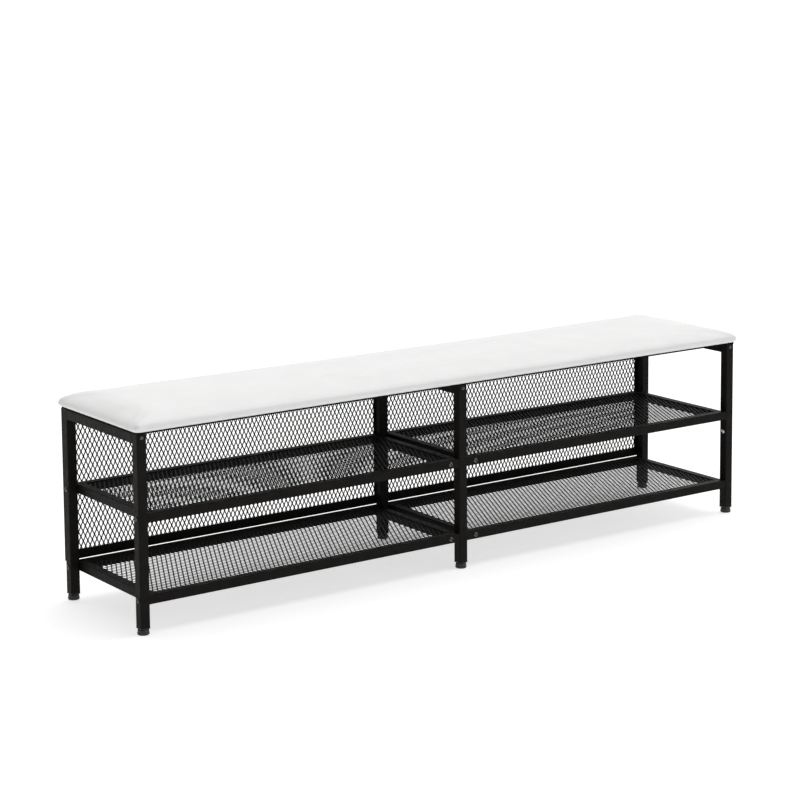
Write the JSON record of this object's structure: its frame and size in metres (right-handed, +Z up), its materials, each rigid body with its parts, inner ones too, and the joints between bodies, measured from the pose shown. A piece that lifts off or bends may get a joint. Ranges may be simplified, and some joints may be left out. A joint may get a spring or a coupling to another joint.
{
  "type": "storage bench",
  "caption": "Long entryway bench: white padded seat on a black square-tube frame with expanded-metal shoe shelves and back panel, on screw-in levelling feet.",
  "frame": {"origin": "on the floor, under the middle of the bench", "axes": "+X along the length to the right seen from the front, -Y towards the front, +Z up"},
  "size_m": [1.516, 0.316, 0.42],
  "materials": {
    "frame_steel": "black powder coat",
    "mesh_steel": "black powder coat on expanded metal",
    "black_bolt": "black oxide",
    "zinc": "bright zinc plate",
    "nylon": "moulded nylon",
    "foot_plastic": "moulded plastic",
    "underlay": "black hardboard",
    "plywood": "plain plywood",
    "foam": "open-cell foam",
    "leather": "white coated upholstery, fine grain"
  },
  "bodies": {
    "frame": {"post_front_left": "frame_steel", "post_front_mid": "frame_steel", "post_front_right": "frame_steel", "post_rear_left": "frame_steel", "post_rear_mid": "frame_steel", "post_rear_right": "frame_steel", "crossbar_left": "frame_steel", "crossbar_mid": "frame_steel", "crossbar_right": "frame_steel", "low_left_front": "frame_steel", "low_left_rear": "frame_steel", "low_left_outer": "frame_steel", "low_left_inner": "frame_steel", "low_right_front": "frame_steel", "low_right_rear": "frame_steel", "low_right_inner": "frame_steel", "low_right_outer": "frame_steel", "mid_left_front": "frame_steel", "mid_left_rear": "frame_steel", "mid_left_outer": "frame_steel", "mid_left_inner": "frame_steel", "mid_right_front": "frame_steel", "mid_right_rear": "frame_steel", "mid_right_inner": "frame_steel", "mid_right_outer": "frame_steel", "low_left_mesh": "mesh_steel", "low_right_mesh": "mesh_steel", "mid_left_mesh": "mesh_steel", "mid_right_mesh": "mesh_steel", "back_top": "frame_steel", "back_bottom": "frame_steel", "back_stile_left": "frame_steel", "back_stile_mid": "frame_steel", "back_stile_right": "frame_steel", "back_mesh_left": "mesh_steel", "back_mesh_right": "mesh_steel", "seat_underlay": "underlay", "seat_board": "plywood", "seat_foam": "foam", "seat_cover": "leather", "leg_inserts": "nylon", "mid_spigots": "frame_steel", "end_bolts": "black_bolt", "mid_bolts": "black_bolt", "spare_bolts": "zinc", "crossbar_screws": "black_bolt", "back_screws": "zinc", "seat_screws": "zinc"},
    "stud_front_left": {"stud_front_left": "zinc"},
    "foot_front_left": {"pad_front_left": "foot_plastic"},
    "stud_front_mid": {"stud_front_mid": "zinc"},
    "foot_front_mid": {"pad_front_mid": "foot_plastic"},
    "stud_front_right": {"stud_front_right": "zinc"},
    "foot_front_right": {"pad_front_right": "foot_plastic"},
    "stud_rear_left": {"stud_rear_left": "zinc"},
    "foot_rear_left": {"pad_rear_left": "foot_plastic"},
    "stud_rear_mid": {"stud_rear_mid": "zinc"},
    "foot_rear_mid": {"pad_rear_mid": "foot_plastic"},
    "stud_rear_right": {"stud_rear_right": "zinc"},
    "foot_rear_right": {"pad_rear_right": "foot_plastic"}
  },
  "joints": [
    {"name": "foot_front_left_height", "type": "slide", "parent": "frame", "child": "stud_front_left", "axis": [0, 0, -1], "range_m": [-0.001, 0.01]},
    {"name": "foot_front_left_turn", "type": "hinge", "parent": "stud_front_left", "child": "foot_front_left", "pos_m": [-0.74, -0.14, 0.005], "axis": [0, 0, -1], "range_deg": [-290, 2885]},
    {"name": "foot_front_mid_height", "type": "slide", "parent": "frame", "child": "stud_front_mid", "axis": [0, 0, -1], "range_m": [-0.001, 0.01]},
    {"name": "foot_front_mid_turn", "type": "hinge", "parent": "stud_front_mid", "child": "foot_front_mid", "pos_m": [0, -0.14, 0.005], "axis": [0, 0, -1], "range_deg": [-290, 2885]},
    {"name": "foot_front_right_height", "type": "slide", "parent": "frame", "child": "stud_front_right", "axis": [0, 0, -1], "range_m": [-0.001, 0.01]},
    {"name": "foot_front_right_turn", "type": "hinge", "parent": "stud_front_right", "child": "foot_front_right", "pos_m": [0.74, -0.14, 0.005], "axis": [0, 0, -1], "range_deg": [-290, 2885]},
    {"name": "foot_rear_left_height", "type": "slide", "parent": "frame", "child": "stud_rear_left", "axis": [0, 0, -1], "range_m": [-0.001, 0.01]},
    {"name": "foot_rear_left_turn", "type": "hinge", "parent": "stud_rear_left", "child": "foot_rear_left", "pos_m": [-0.74, 0.14, 0.005], "axis": [0, 0, -1], "range_deg": [-290, 2885]},
    {"name": "foot_rear_mid_height", "type": "slide", "parent": "frame", "child": "stud_rear_mid", "axis": [0, 0, -1], "range_m": [-0.001, 0.01]},
    {"name": "foot_rear_mid_turn", "type": "hinge", "parent": "stud_rear_mid", "child": "foot_rear_mid", "pos_m": [0, 0.14, 0.005], "axis": [0, 0, -1], "range_deg": [-290, 2885]},
    {"name": "foot_rear_right_height", "type": "slide", "parent": "frame", "child": "stud_rear_right", "axis": [0, 0, -1], "range_m": [-0.001, 0.01]},
    {"name": "foot_rear_right_turn", "type": "hinge", "parent": "stud_rear_right", "child": "foot_rear_right", "pos_m": [0.74, 0.14, 0.005], "axis": [0, 0, -1], "range_deg": [-290, 2885]}
  ],
  "couplings": [
    {"joint": "foot_front_left_turn", "follows": "foot_front_left_height", "rad_per_m": 5026.5},
    {"joint": "foot_front_mid_turn", "follows": "foot_front_mid_height", "rad_per_m": 5026.5},
    {"joint": "foot_front_right_turn", "follows": "foot_front_right_height", "rad_per_m": 5026.5},
    {"joint": "foot_rear_left_turn", "follows": "foot_rear_left_height", "rad_per_m": 5026.5},
    {"joint": "foot_rear_mid_turn", "follows": "foot_rear_mid_height", "rad_per_m": 5026.5},
    {"joint": "foot_rear_right_turn", "follows": "foot_rear_right_height", "rad_per_m": 5026.5}
  ]
}
